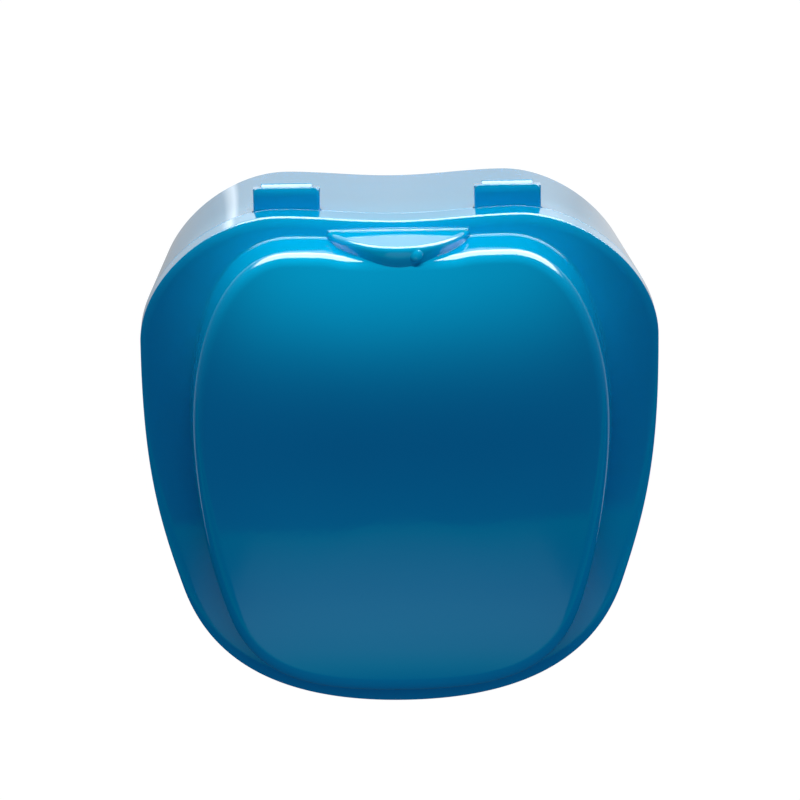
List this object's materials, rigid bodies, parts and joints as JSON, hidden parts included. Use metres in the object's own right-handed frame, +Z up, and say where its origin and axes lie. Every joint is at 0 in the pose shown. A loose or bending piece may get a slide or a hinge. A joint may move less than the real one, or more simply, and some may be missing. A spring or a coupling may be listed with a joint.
{
  "type": "denture case",
  "caption": "Deep apple-shaped denture case with a hinged domed lid, a half-moon thumb ledge and a lift-out strainer basket.",
  "frame": {"origin": "on the flat base, on the centre line, halfway between the narrow end and the hinge end of the rim", "axes": "+Z up from the base through the lid, +Y from the narrow end to the hinge end, +X to the right seen from the narrow end"},
  "size_m": [0.09, 0.0905, 0.0718],
  "materials": {
    "blue_plastic": "glossy moulded plastic, saturated blue, very faint orange peel",
    "pin_steel": "drawn stainless wire, satin",
    "white_plastic": "fine satin moulded plastic, white"
  },
  "bodies": {
    "case_tub": {"tub": "blue_plastic"},
    "case_lid": {"lid": "blue_plastic", "hinge_pin_left": "pin_steel", "hinge_pin_right": "pin_steel"},
    "strainer": {"basket": "white_plastic"}
  },
  "joints": [
    {"name": "lid_hinge", "type": "hinge", "parent": "case_tub", "child": "case_lid", "pos_m": [0, 0.04545, 0.0487], "axis": [-1, 0, 0], "range_deg": [0, 175]},
    {"name": "basket_lift", "type": "slide", "parent": "case_tub", "child": "strainer", "axis": [0, 0, 1], "range_m": [0, 0.0055]}
  ]
}
